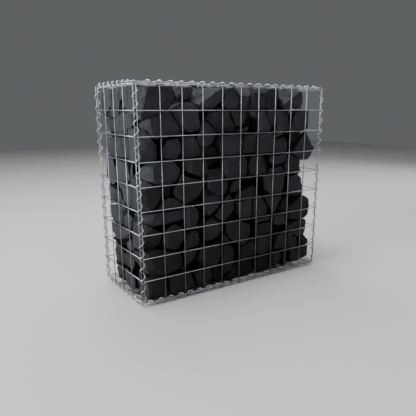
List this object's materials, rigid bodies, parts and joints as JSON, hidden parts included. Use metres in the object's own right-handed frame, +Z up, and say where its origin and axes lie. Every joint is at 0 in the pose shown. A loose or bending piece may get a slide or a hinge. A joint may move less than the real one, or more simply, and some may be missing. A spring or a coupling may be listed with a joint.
{
  "type": "gabion wall",
  "caption": "Free-standing gabion wall: a welded wire mesh basket, laced along its edges with spiral binders and filled with dark split stone",
  "frame": {"origin": "on the ground under the middle of the basket", "axes": "+X runs along the wall to the right as seen from the front, +Y through it from front to back, +Z up"},
  "size_m": [1.0372, 0.4434, 0.936],
  "materials": {
    "mesh_wire": "dull zinc",
    "binder_wire": "dull zinc",
    "split_stone": "matte, split faces"
  },
  "bodies": {
    "root": {"front_mesh": "mesh_wire", "back_mesh": "mesh_wire", "left_mesh": "mesh_wire", "right_mesh": "mesh_wire", "base_mesh": "mesh_wire", "lid_mesh": "mesh_wire", "binder_front_left": "binder_wire", "binder_front_right": "binder_wire", "binder_front_base": "binder_wire", "binder_front_lid": "binder_wire", "binder_back_left": "binder_wire", "binder_back_right": "binder_wire", "binder_back_base": "binder_wire", "binder_back_lid": "binder_wire", "binder_left_base": "binder_wire", "binder_left_lid": "binder_wire", "binder_right_base": "binder_wire", "binder_right_lid": "binder_wire", "fill_course_1": "split_stone", "fill_course_2": "split_stone", "fill_course_3": "split_stone", "fill_course_4": "split_stone", "fill_course_5": "split_stone", "fill_course_6": "split_stone", "fill_course_7": "split_stone", "fill_course_8": "split_stone", "fill_course_9": "split_stone"}
  },
  "joints": []
}
